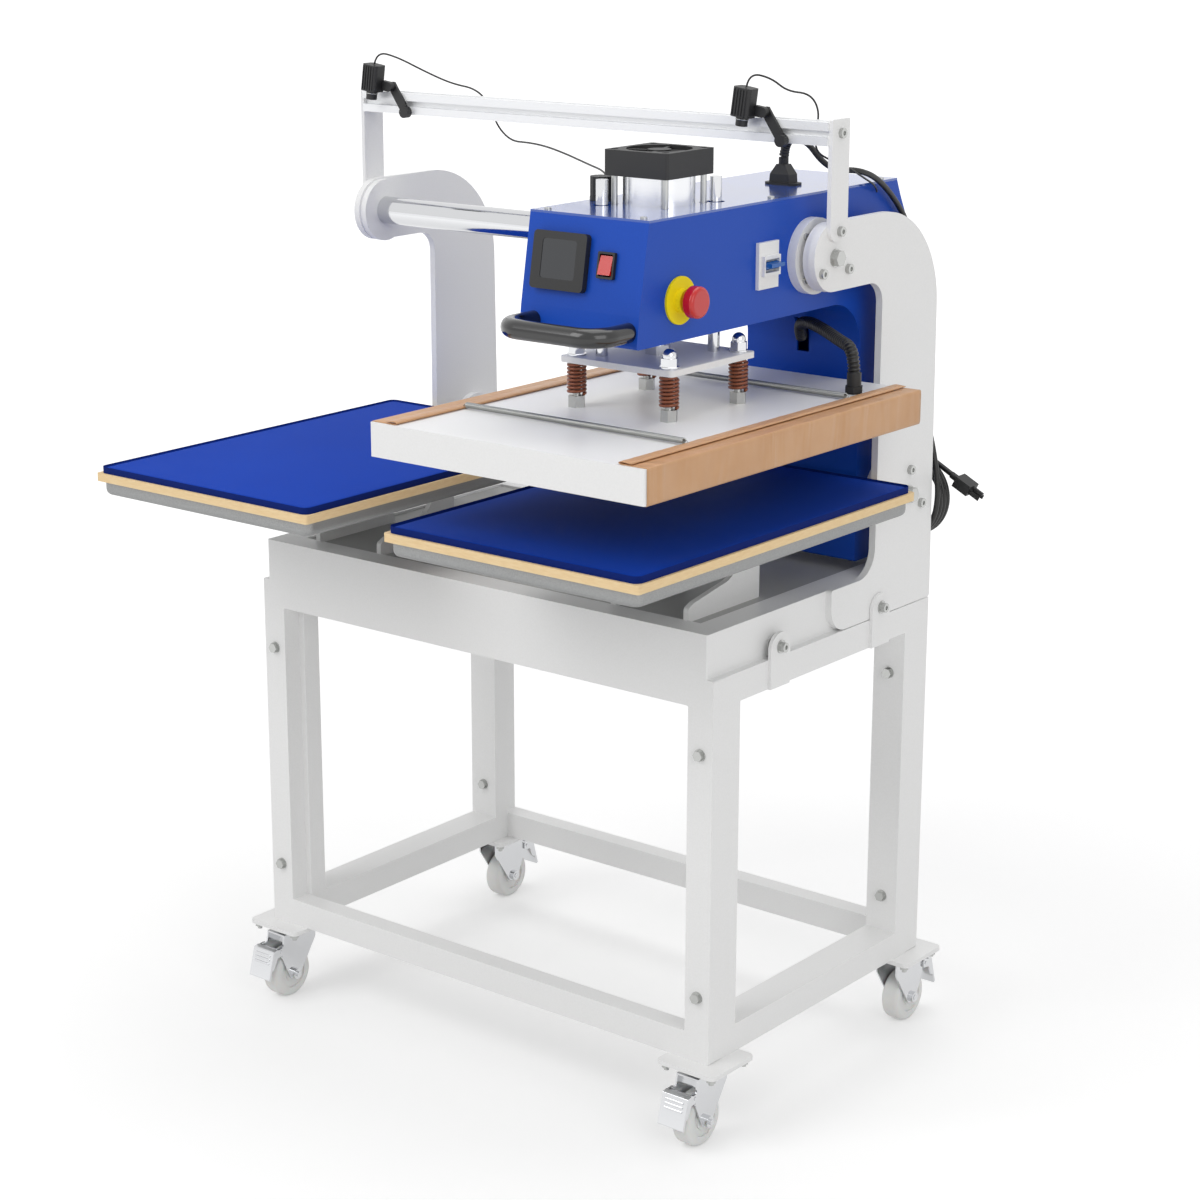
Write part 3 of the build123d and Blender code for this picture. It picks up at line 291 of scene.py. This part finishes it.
# Guide shafts, press rods, domed nuts, caster forks and brake pedals: hard chrome,
# smooth enough to mirror the studio. Each corner goes with its signs in x and y.
CORNERS = {"front_right": (1, -1), "front_left": (-1, -1), "rear_right": (1, 1), "rear_left": (-1, 1)}
chrome, shader = surface("hard_chrome", "#d7d8da", 0.1, 1.0)
grain(chrome, shader, 3.0, 0.004)
dress(chrome, "guide_shafts", "press_rods", "stud_nuts")
for corner in CORNERS:
    dress(chrome, "caster_fork_" + corner, "caster_pedal_" + corner)

# Caster wheels: moulded nylon, slightly see through and waxy.
nylon, shader = surface("moulded_nylon", "#e9e9e7", 0.35, Subsurface_Weight=0.1)
grain(nylon, shader, 1.5, 0.01)
for corner in CORNERS:
    dress(nylon, "caster_wheel_" + corner)

# Platen trays and heater plate: cast aluminium, matt grey with a sandy skin.
cast, shader = surface("cast_aluminium_skin", "#9b9c9c", 0.55, 0.75)
speckle = grain(cast, shader, 1.4, 0.12, 4.0)
tint = put(cast, "ShaderNodeMix", {"data_type": "RGBA"},
           {"Factor": speckle.outputs["Fac"], "A": colour("#858686"), "B": colour("#adaeae")})
cast.node_tree.links.new(tint.outputs["Result"], shader.inputs["Base Color"])
dress(cast, "platen_trays", "heater_plate")

# Deck: sheet steel under grey primer, flat and even.
deck_coat, shader = surface("grey_primed_steel_deck", "#b4b4b3", 0.5)
grain(deck_coat, shader, 2.5, 0.03)
dress(deck_coat, "deck_plate")

# Platen boards: pale heat proof board with its cut edge showing. The fibre lies in
# the board, so the grain is drawn out sideways.
board, shader = surface("heat_proof_board_edge", "#f0d2a0", 0.7)
fibre = grain(board, shader, 2.0, 0.05, 3.0, (0.15, 0.15, 1.0))
tint = put(board, "ShaderNodeMix", {"data_type": "RGBA"},
           {"Factor": fibre.outputs["Fac"], "A": colour("#e6c48e"), "B": colour("#f8dfb4")})
board.node_tree.links.new(tint.outputs["Result"], shader.inputs["Base Color"])
dress(board, "platen_boards")

# Beam and cylinder barrel: extruded aluminium, the beam clear anodised and the
# barrel honed. Die lines along the length stretch each highlight.
anodised, shader = surface("clear_anodised_aluminium", "#f0f1f2", 0.42, 0.45)
grain(anodised, shader, 0.8, 0.01, 2.0, (0.03, 1.0, 1.0))
dress(anodised, "laser_beam")
barrel_skin, shader = surface("honed_aluminium_tube", "#e9eaec", 0.22, 0.95)
grain(barrel_skin, shader, 0.8, 0.006, 2.0, (1.0, 1.0, 0.05))
dress(barrel_skin, "cylinder_body")

# Black moulded parts: glass filled nylon with a fine spark eroded texture, which
# keeps them dull. The conduit's gland is moulded too, but is on a steel node, so its
# faces are found by how near they lie to the gland's axis.
GLAND = (430, 13.5)
GLAND_REACH = 0.02
black_nylon, shader = surface("black_moulded_nylon", "#1b1b1c", 0.5)
grain(black_nylon, shader, 0.7, 0.03)
dress(black_nylon, "lamp_mounts", "lamp_left", "lamp_right", "cylinder_cap", "mains_inlet", "mains_plug",
      "pressure_knob", "display_module", "rocker_bezel")
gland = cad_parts["heater_hardware"].data
gland.materials.append(black_nylon)
for face in gland.polygons:
    if (face.center.xy - at(*GLAND, 0).xy).length < GLAND_REACH:
        face.material_index = 1

# Handle: bent steel tube, dipped in black enamel that gives sharp highlights.
black_enamel, shader = surface("black_gloss_enamel", "#0c0c0d", 0.22, Coat_Weight=0.6, Coat_Roughness=0.1)
grain(black_enamel, shader, 3.0, 0.01)
dress(black_enamel, "handle")

# Display window: dark glass set in the module's frame. The head's front leans back
# 19 mm in 112 mm, and the window is the flat that stands 8.4 mm out from it.
window_glass, shader = surface("dark_window_glass", "#1c2026", 0.12, Coat_Weight=0.8, Coat_Roughness=0.05)
grain(window_glass, shader, 30.0, 0.01)
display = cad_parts["display_module"].data
display.materials.append(window_glass)
lean_back = math.atan2(19.0, 112.0)
window_middle = at(238, -346 - 54 * math.tan(lean_back), 1190)
outward = Vector((0, -math.cos(lean_back), math.sin(lean_back)))
window_stands_out, flat_within = 0.0084, 0.0002
for face in display.polygons:
    off = abs((face.center - window_middle).dot(outward) - window_stands_out)
    if off < flat_within and face.normal.dot(outward) > 0.9:
        face.material_index = 1

# Stop button and rocker: glossy red ABS. The disc behind the button is yellow matt
# sheet, and the breaker's lever is glossy blue ABS.
red_abs, shader = surface("red_gloss_abs", "#c8140e", 0.2, Coat_Weight=0.3, Coat_Roughness=0.1)
grain(red_abs, shader, 4.0, 0.01)
dress(red_abs, "estop_button", "rocker_switch")
yellow, shader = surface("yellow_matt_sheet", "#f6e21c", 0.5, Specular_IOR_Level=0.2)
grain(yellow, shader, 1.0, 0.01)
dress(yellow, "estop_base")
blue_abs, shader = surface("blue_gloss_abs", "#1a5fae", 0.25)
grain(blue_abs, shader, 2.0, 0.01)
dress(blue_abs, "breaker_toggle")

# Pads: 8 mm silicone sponge, vivid blue, with a cloth faced top. The top is flat and
# the cut edge a little rounded; the cut edge is painted darker as shade, more as a face turns
# away from upward. The weave is drawn coarser than the real one, so that it shows.
STATION_X, STATION_Y = 272, -204
PAD_SIZE = (0.4, 0.6, 0.008)
WEAVE_SCALE = 320.0
foam, shader = surface("blue_silicone_sponge", "#0a3fc4", 0.75, Specular_IOR_Level=0.15)
place = put(foam, "ShaderNodeTexCoord")
weave_x, weave_y = (
    put(foam, "ShaderNodeTexWave", {"bands_direction": way},
        {"Vector": place.outputs["Object"], "Scale": WEAVE_SCALE, "Distortion": 0.6}) for way in "XY")
crossed = put(foam, "ShaderNodeMath", {"operation": "MULTIPLY"},
              {0: weave_x.outputs["Fac"], 1: weave_y.outputs["Fac"]})
weave_relief = put(foam, "ShaderNodeBump", inputs={"Height": crossed.outputs["Value"], "Distance": 0.00008})
foam.node_tree.links.new(weave_relief.outputs["Normal"], shader.inputs["Normal"])
cloud = put(foam, "ShaderNodeTexNoise",
            inputs={"Vector": place.outputs["Object"], "Scale": 9.0, "Detail": 3.0})
# Painted shade: faces turned away from upward are mixed towards dark navy #02206c, and faces looking up keep
# the top's cloud of tones.
facing = put(foam, "ShaderNodeNewGeometry")
painted_shade_by_facing = put(foam, "ShaderNodeSeparateXYZ", inputs={"Vector": facing.outputs["True Normal"]})
top_tint = put(foam, "ShaderNodeMix", {"data_type": "RGBA"},
               {"Factor": cloud.outputs["Fac"], "A": colour("#0038a4"), "B": colour("#0640b0")})
top_tint_and_painted_side_shade = put(foam, "ShaderNodeMix", {"data_type": "RGBA"},
                 {"Factor": painted_shade_by_facing.outputs["Z"], "A": colour("#02206c"), "B": top_tint.outputs["Result"]})
foam.node_tree.links.new(top_tint_and_painted_side_shade.outputs["Result"], shader.inputs["Base Color"])
for side, name in ((-1, "pad_left"), (1, "pad_right")):
    bpy.ops.object.select_all(action="DESELECT")
    bpy.ops.mesh.primitive_cube_add(size=1, location=(0, 0, 0))
    pad = bpy.context.object
    pad.name = name
    middle = Matrix.Translation(at(side * STATION_X, STATION_Y, 849.5))
    pad.data.transform(middle @ Matrix.Diagonal((*PAD_SIZE, 1)))
    bpy.ops.object.mode_set(mode="EDIT")
    bpy.ops.mesh.select_all(action="DESELECT")
    bpy.ops.object.mode_set(mode="OBJECT")
    for edge in pad.data.edges:
        a, b = (pad.data.vertices[v].co for v in edge.vertices)
        edge.select = abs(a.z - b.z) > PAD_SIZE[2] / 2
    bpy.ops.object.mode_set(mode="EDIT")
    bpy.ops.mesh.bevel(offset=0.01, segments=6)
    bpy.ops.object.mode_set(mode="OBJECT")
    soft_edge = pad.modifiers.new("edge", "BEVEL")
    soft_edge.width = 0.0012
    soft_edge.segments = 3
    soft_edge.limit_method = "ANGLE"
    bpy.ops.object.modifier_apply(modifier="edge")
    pad.data.shade_smooth()
    pad.data.materials.append(foam)
    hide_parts("platen_pads")
    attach(pad, "base")

# Non stick sheet: glass cloth coated with PTFE, pulled under the heater and up both
# sides, and folded over the top edges into a hem. It shows a fine square weave,
# drawn coarser than the real one, and slanting creases.
CLOTH_SCALE = 260.0
ptfe, shader = surface("coated_glass_cloth", "#b98a5e", 0.38)
place = put(ptfe, "ShaderNodeTexCoord")
drift = put(ptfe, "ShaderNodeTexNoise",
            inputs={"Vector": place.outputs["Object"], "Scale": 18.0, "Detail": 4.0})
tan = put(ptfe, "ShaderNodeMix", {"data_type": "RGBA"},
          {"Factor": drift.outputs["Fac"], "A": colour("#c08f62"), "B": colour("#d3a67c")})
ptfe.node_tree.links.new(tan.outputs["Result"], shader.inputs["Base Color"])
warp, weft = (
    put(ptfe, "ShaderNodeTexWave", {"bands_direction": way},
        {"Vector": place.outputs["Object"], "Scale": CLOTH_SCALE}) for way in "YZ")
crossed = put(ptfe, "ShaderNodeMath", {"operation": "ADD"}, {0: warp.outputs["Fac"], 1: weft.outputs["Fac"]})
slanted = put(ptfe, "ShaderNodeMapping",
              inputs={"Vector": place.outputs["Object"], "Rotation": (0.7, 0, 0), "Scale": (1, 1, 0.25)})
creases = put(ptfe, "ShaderNodeTexNoise",
              inputs={"Vector": slanted.outputs["Vector"], "Scale": 22.0, "Detail": 2.0, "Distortion": 0.8})
fine = put(ptfe, "ShaderNodeBump", inputs={"Height": crossed.outputs["Value"], "Distance": 0.00004})
coarse = put(ptfe, "ShaderNodeBump",
             inputs={"Height": creases.outputs["Fac"], "Distance": 0.005, "Normal": fine.outputs["Normal"]})
ptfe.node_tree.links.new(coarse.outputs["Normal"], shader.inputs["Normal"])

# Its section across the heater: the hem, the fold over the left edge and the side,
# then the flat underneath, and the same again in mirror image.
SHEET_LENGTH, SHEET_MIDDLE_Y, SHEET_ROWS = 594, -213, 120
left_side = [
    (-194, 990.5), (-186, 991.4), (-179, 991.7), (-175.8, 991.0), (-175.2, 989.8), (-177, 988.9),
    (-182, 988.6), (-196, 988.5), (-210, 988.6), (-215.6, 988.7), (-216.9, 988.0), (-217.1, 984),
    (-217.1, 975), (-217.1, 960), (-217.0, 947), (-216.2, 943.5)]
underneath = [(x, 943.4) for x in range(-200, 201, 20)]
section = left_side + underneath + [(-x, z) for x, z in reversed(left_side)]
points = []
for j in range(SHEET_ROWS + 1):
    y = SHEET_MIDDLE_Y - SHEET_LENGTH / 2 + SHEET_LENGTH * j / SHEET_ROWS
    for x, z in section:
        ripple = abs(noise.noise(Vector((x * 0.02, y * 0.09, z * 0.02))))
        outwards = 0.7 * ripple if 946 < z < 986 else 0.0
        lifted = 0.6 * ripple if z > 989.5 else 0.0
        points.append(at(STATION_X + x + math.copysign(outwards, x), y, z + lifted))
span = len(section)
faces = [(j * span + i, j * span + i + 1, (j + 1) * span + i + 1, (j + 1) * span + i)
         for j in range(SHEET_ROWS) for i in range(span - 1)]
sheet_mesh = bpy.data.meshes.new("heater_sheet")
sheet_mesh.from_pydata(points, [], faces)
sheet_piece = bpy.data.objects.new("heater_sheet", sheet_mesh)
bpy.context.scene.collection.objects.link(sheet_piece)
sheet_mesh.shade_smooth()
sheet_mesh.materials.append(ptfe)
bpy.ops.object.select_all(action="DESELECT")
bpy.context.view_layer.objects.active = sheet_piece
sheet_piece.select_set(True)
thick = sheet_piece.modifiers.new("thickness", "SOLIDIFY")
thick.thickness = 0.0006
thick.offset = 0.0
bpy.ops.object.modifier_apply(modifier="thickness")
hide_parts("non_stick_sheet")
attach(sheet_piece, "heater")

# Die springs: four on the heater's studs, wound from brown painted wire.


def wound(name, start, axis, across, radius, wire, turns, pitch, material, steps, ring):
    # Wire of the given radius wound about the axis from start, closed at both ends
    third = axis.cross(across)
    verts, quads = [], []
    count = turns * steps
    for i in range(count + 1):
        angle = 2 * math.pi * i / steps
        outward = across * math.cos(angle) + third * math.sin(angle)
        middle = start + outward * radius + axis * (pitch * i / steps)
        for k in range(ring):
            b = 2 * math.pi * k / ring
            verts.append(middle + outward * (wire * math.cos(b)) + axis * (wire * math.sin(b)))
    for i in range(count):
        for k in range(ring):
            a, b = i * ring + k, i * ring + (k + 1) % ring
            quads.append((a, a + ring, b + ring, b))
    quads.append(tuple(range(ring)))
    quads.append(tuple(reversed(range(count * ring, count * ring + ring))))
    mesh = bpy.data.meshes.new(name)
    mesh.from_pydata(verts, [], quads)
    mesh.shade_smooth()
    mesh.materials.append(material)
    piece = bpy.data.objects.new(name, mesh)
    bpy.context.scene.collection.objects.link(piece)
    return piece


STUD_OUT = 74
DIE_SPRING_LOW, DIE_SPRING_HIGH, DIE_SPRING_TURNS = 1005.4, 1044.6, 8
spring_paint, shader = surface("brown_painted_spring_steel", "#86482c", 0.35, 0.3, Coat_Weight=0.2)
grain(spring_paint, shader, 1.5, 0.03)
for number, (dx, dy) in enumerate(((-1, -1), (1, -1), (-1, 1), (1, 1))):
    foot = at(STATION_X + STUD_OUT * dx, STATION_Y + STUD_OUT * dy, DIE_SPRING_LOW)
    pitch = (DIE_SPRING_HIGH - DIE_SPRING_LOW) / (1000 * DIE_SPRING_TURNS)
    spring = wound("press_spring_%d" % number, foot, Vector((0, 0, 1)), Vector((1, 0, 0)), 0.0109, 0.0021,
                   DIE_SPRING_TURNS, pitch, spring_paint, 24, 10)
    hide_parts("press_springs")
    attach(spring, "heater")
    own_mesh(spring)

# Hold down springs: two long ones, closely wound from bright wire, pull the sheet's
# hems together across the heater. Each ends in a hook round a rod in the hem.
HEM_ROD_X, HEM_ROD_Z = 180.5, 990.1
spring_wire, shader = surface("bright_spring_wire", "#a9aaa8", 0.3, 1.0)
grain(spring_wire, shader, 1.0, 0.01)
for number, y in enumerate((-379.0, -29.0)):
    long_spring = wound("hold_spring_%d" % number, at(99.0, y, 993.4), Vector((1, 0, 0)), Vector((0, 0, 1)),
                        0.0033, 0.0007, 230, 0.001504, spring_wire, 8, 5)
    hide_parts("hold_springs")
    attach(long_spring, "heater")
    for side, side_name in ((-1, "left"), (1, "right")):
        hook_route = [at(STATION_X + side * x, y, z) for x, z in (
            (171.5, 996.7), (174, 996.2), (177, 993.5), (180, 991.2), (182.5, 990.4), (181, 989.6))]
        hook, _, _ = led_tube("hold_hook_%d_%s" % (number, side_name), hook_route, 0.0014, spring_wire)
        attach(hook, "heater")
        bpy.ops.object.select_all(action="DESELECT")
        bpy.ops.mesh.primitive_cylinder_add(vertices=20, radius=0.0008, depth=0.018, location=(0, 0, 0))
        rod = bpy.context.object
        rod.name = "hem_rod_%d_%s" % (number, side_name)
        in_hem = Matrix.Translation(at(STATION_X + side * HEM_ROD_X, y, HEM_ROD_Z))
        rod.data.transform(in_hem @ Matrix.Rotation(math.pi / 2, 4, "X"))
        rod.data.shade_smooth()
        rod.data.materials.append(spring_wire)
        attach(rod, "heater")

# Conduit: ribbed black nylon tube that carries the heater's wires from the slot in
# the column to the gland on the heater. Its ribs are moulded 5 mm apart.


def rib_radius(far):
    # Flat topped ribs that rise from 6.9 to 8.5 mm
    wave = 0.75 - 0.75 * math.cos(2 * math.pi * far / 0.005)
    return 0.0069 + 0.0016 * min(1.0, wave)


hose, shader = surface("ribbed_black_nylon", "#161616", 0.36)
grain(hose, shader, 1.5, 0.02)
conduit_route = [at(*p) for p in (
    (272, 124, 1030), (280, 102, 1052), (312, 80, 1062), (352, 58, 1058), (392, 35, 1051),
    (*GLAND, 1046), (*GLAND, 1001))]
core, centre_line, _ = led_tube("conduit_core", conduit_route, 0.012, hose)
bpy.data.objects.remove(core)
ribbed = ridged("ribbed_conduit", centre_line, rib_radius, hose)
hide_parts("conduit")
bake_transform(ribbed)

# Lamp details: each pointer lamp's body is a finned black heat sink with a bright
# ring round its nozzle. The lamps lean 8 degrees about their hinges.


def bar(name, middle, size, material, body, turned, soft=0.0004):
    # A small bar with softened edges, put in its place by turned
    bpy.ops.object.select_all(action="DESELECT")
    bpy.ops.mesh.primitive_cube_add(size=1, location=(0, 0, 0))
    made = bpy.context.object
    made.name = name
    made.data.transform(turned @ Matrix.Translation(middle) @ Matrix.Diagonal((*size, 1)))
    bpy.ops.object.mode_set(mode="EDIT")
    bpy.ops.mesh.select_all(action="SELECT")
    bpy.ops.mesh.bevel(offset=soft, segments=2)
    bpy.ops.object.mode_set(mode="OBJECT")
    made.data.materials.append(material)
    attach(made, body)


LAMP_X = {"right": 312.0, "left": -344.0}
LAMP_HINGE_Z, LAMP_LEAN, FIN_Z = 1350, math.radians(8), 1359
for side, lamp_x in LAMP_X.items():
    hinge = at(lamp_x, 0, LAMP_HINGE_Z)
    tilted = Matrix.Translation(hinge) @ Matrix.Rotation(LAMP_LEAN, 4, "Y") @ Matrix.Translation(-hinge)
    for k in range(5):
        bar("lamp_fin_front_%s_%d" % (side, k), at(lamp_x - 35.2 + 4.6 * k, -55.6, FIN_Z),
            (0.0016, 0.0018, 0.034), black_nylon, side + "_lamp", tilted)
    for k in range(3):
        bar("lamp_fin_side_%s_%d" % (side, k), at(lamp_x - 40.3, -48.3 + 5.0 * k, FIN_Z),
            (0.0018, 0.0016, 0.034), black_nylon, side + "_lamp", tilted)
    bpy.ops.object.select_all(action="DESELECT")
    bpy.ops.mesh.primitive_torus_add(major_radius=0.0082, minor_radius=0.0008, major_segments=40,
                                     minor_segments=8, location=(0, 0, 0))
    ring = bpy.context.object
    ring.name = "lamp_ring_" + side
    ring.data.transform(tilted @ Matrix.Translation(at(lamp_x - 26, -43.3, 1337)))
    ring.data.shade_smooth()
    ring.data.materials.append(zinc)
    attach(ring, side + "_lamp")

# Pedal ribs: three ridges pressed across each brake pedal near its hinge, so that
# a shoe grips it. The pedal falls 42 mm as it runs 12 mm out.
PEDAL_HINGE = (386, 304, 86)
RIB_FIRST, RIB_STEP, RIB_PROUD = 7.0, 6.0, 0.3
pedal_slope = math.atan2(12.0, 42.0)
out_share, fall_share = 0.275, 0.961
for corner, (sx, sy) in CORNERS.items():
    for k in range(3):
        down = RIB_FIRST + RIB_STEP * k
        place = at(sx * PEDAL_HINGE[0], sy * (PEDAL_HINGE[1] + down * out_share + RIB_PROUD),
                   PEDAL_HINGE[2] - down * fall_share)
        lean = Matrix.Rotation(pedal_slope * sy, 4, "X")
        turned = Matrix.Translation(place) @ lean @ Matrix.Translation(-place)
        bar("pedal_rib_%s_%d" % (corner, k), place, (0.03, 0.0024, 0.0032), chrome,
            "pedal_" + corner, turned, 0.0009)

# Studio floor: white paper that the camera and mirrors see glow more with distance,
# so that it fades into the white surround and still keeps the machine's shadow.
bpy.ops.object.select_all(action="DESELECT")
bpy.ops.mesh.primitive_plane_add(size=200, location=(0, 0, 0))
floor = bpy.context.object
floor.name = "studio_floor"
paper = bpy.data.materials.new("white_paper_floor")
paper.use_nodes = True
tree = paper.node_tree
tree.nodes.remove(tree.nodes["Principled BSDF"])
ray = put(paper, "ShaderNodeLightPath")
seen = put(paper, "ShaderNodeMath", {"operation": "MAXIMUM"},
           {0: ray.outputs["Is Camera Ray"], 1: ray.outputs["Is Glossy Ray"]})
spread = put(paper, "ShaderNodeTexCoord")
reach = put(paper, "ShaderNodeVectorMath", {"operation": "LENGTH"}, {0: spread.outputs["Object"]})
lift = put(paper, "ShaderNodeMapRange", inputs={
    "Value": reach.outputs["Value"], "From Min": 0.9, "From Max": 5.0, "To Min": 0.3, "To Max": 0.75})
glow = put(paper, "ShaderNodeEmission", inputs={"Color": (1, 1, 1, 1), "Strength": lift.outputs["Result"]})
matt = put(paper, "ShaderNodeBsdfDiffuse", inputs={"Color": colour("#e8e8e8")})
glowing = put(paper, "ShaderNodeAddShader", inputs={0: matt.outputs["BSDF"], 1: glow.outputs["Emission"]})
chosen = put(paper, "ShaderNodeMixShader", inputs={
    "Fac": seen.outputs["Value"], 1: matt.outputs["BSDF"], 2: glowing.outputs["Shader"]})
tree.links.new(chosen.outputs["Shader"], tree.nodes["Material Output"].inputs["Surface"])
floor.data.materials.append(paper)

# Surround and lamps: a white sky that is white to the camera and to mirrors and
# dimmer as a light, and three large soft lamps aimed at the middle of the machine.
world = bpy.data.worlds.new("studio_world")
bpy.context.scene.world = world
world.use_nodes = True
sky = world.node_tree.nodes["Background"]
ray = put(world, "ShaderNodeLightPath")
seen = put(world, "ShaderNodeMath", {"operation": "MAXIMUM"},
           {0: ray.outputs["Is Camera Ray"], 1: ray.outputs["Is Glossy Ray"]})
strength = put(world, "ShaderNodeMapRange",
               inputs={"Value": seen.outputs["Value"], "To Min": 0.55, "To Max": 1.0})
world.node_tree.links.new(strength.outputs["Result"], sky.inputs["Strength"])
sky.inputs["Color"].default_value = (1, 1, 1, 1)
LAMP_AIM = Vector((0, 0, 0.8))
for name, place, power, size in (
        ("key_lamp", (-1.2, -3.4, 3.6), 62, 2.6),
        ("fill_lamp", (3.6, -1.6, 2.4), 30, 2.4),
        ("top_lamp", (0.2, 0.6, 4.2), 42, 3.0)):
    lamp = bpy.data.lights.new(name, "AREA")
    lamp.energy = power
    lamp.size = size
    holder = bpy.data.objects.new(name, lamp)
    bpy.context.scene.collection.objects.link(holder)
    holder.location = place
    holder.rotation_euler = (LAMP_AIM - Vector(place)).to_track_quat("-Z", "Y").to_euler()
bpy.context.scene.view_settings.view_transform = "Standard"
